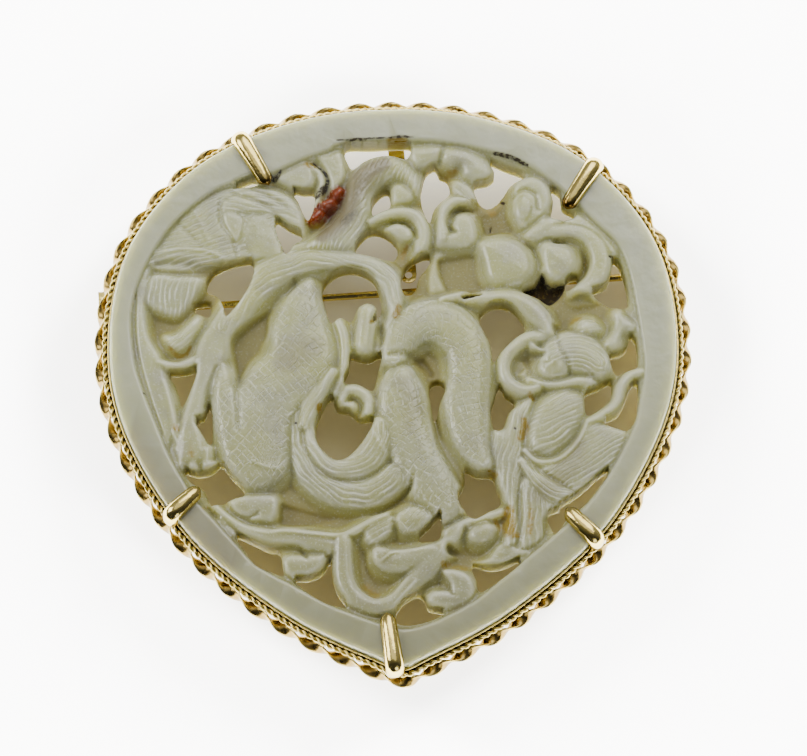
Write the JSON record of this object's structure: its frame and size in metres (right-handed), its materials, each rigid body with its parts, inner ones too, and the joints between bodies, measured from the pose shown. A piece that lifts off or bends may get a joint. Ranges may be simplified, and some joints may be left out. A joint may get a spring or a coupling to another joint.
{
  "type": "jade brooch",
  "caption": "Carved openwork jade plaque in a gold claw mount with a rope and twisted ribbon edge, a hinged pin and a fold-down bail.",
  "frame": {"origin": "centre of the outline in plan, at the height of the surface that the brooch lies on", "axes": "+Z out of the carved face, +Y from the blunt point towards the broad top, +X to the right as seen from the front"},
  "size_m": [0.057, 0.0587, 0.0066],
  "materials": {
    "jade": "polished pale grey-green nephrite",
    "gold": "polished yellow gold"
  },
  "bodies": {
    "brooch": {"jade_plaque": "jade", "mount_band": "gold", "rope_wire": "gold", "ribbon_edging": "gold", "claw_top_left": "gold", "claw_top_right": "gold", "claw_lower_left": "gold", "claw_lower_right": "gold", "claw_bottom": "gold", "pin_hinge": "gold", "pin_catch": "gold", "bail_hinge": "gold"},
    "pin": {"pin_stem": "gold"},
    "bail": {"bail_strap": "gold"}
  },
  "joints": [
    {"name": "pin_opens", "type": "hinge", "parent": "brooch", "child": "pin", "pos_m": [0.0254, 0.01135, 0.001], "axis": [0.0445, -0.999, 0], "range_deg": [0, 90]},
    {"name": "bail_unfolds", "type": "hinge", "parent": "brooch", "child": "bail", "pos_m": [0.0007, 0.0272, 0.00135], "axis": [0.9978, 0.0663, 0], "range_deg": [0, 180]}
  ]
}
